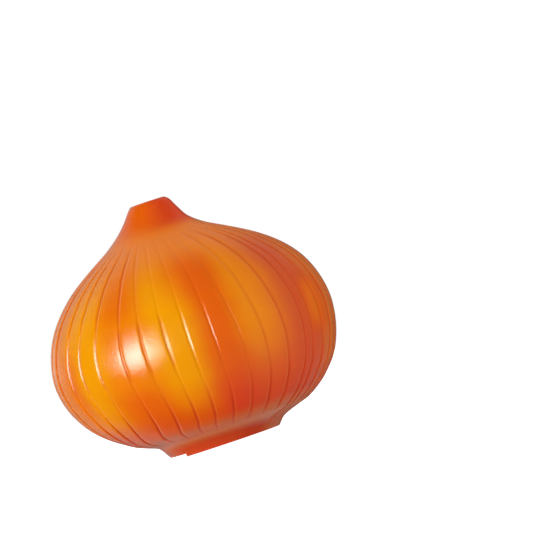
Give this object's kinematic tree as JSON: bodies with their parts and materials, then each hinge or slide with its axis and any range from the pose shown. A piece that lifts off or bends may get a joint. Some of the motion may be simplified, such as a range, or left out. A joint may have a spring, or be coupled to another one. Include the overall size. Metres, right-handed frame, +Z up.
{
  "type": "toy onion",
  "caption": "Play-food onion with a grooved orange shell, in two halves that hook-and-loop patches on their cream cut faces hold together.",
  "frame": {"origin": "middle of the closed onion's footprint, at the height of the root's flat underside", "axes": "+Z up along the onion's axis from root to neck, the halves part along Y, front half at -Y, back half at +Y"},
  "size_m": [0.076, 0.0759, 0.0662],
  "materials": {
    "onion_skin": "glossy, fine orange-peel surface, sprayed in golden yellow, orange and red streaks",
    "cream_face": "satin moulded cream plastic with engraved layer lines",
    "loop_tape": "soft brushed loop pile on woven tape",
    "hook_tape": "woven tape with rows of stiff hooks"
  },
  "bodies": {
    "root": {"front_skin": "onion_skin", "back_skin": "onion_skin", "front_cut_face": "cream_face", "back_cut_face": "cream_face", "front_loop_pad": "loop_tape", "back_hook_pad": "hook_tape"}
  },
  "joints": []
}
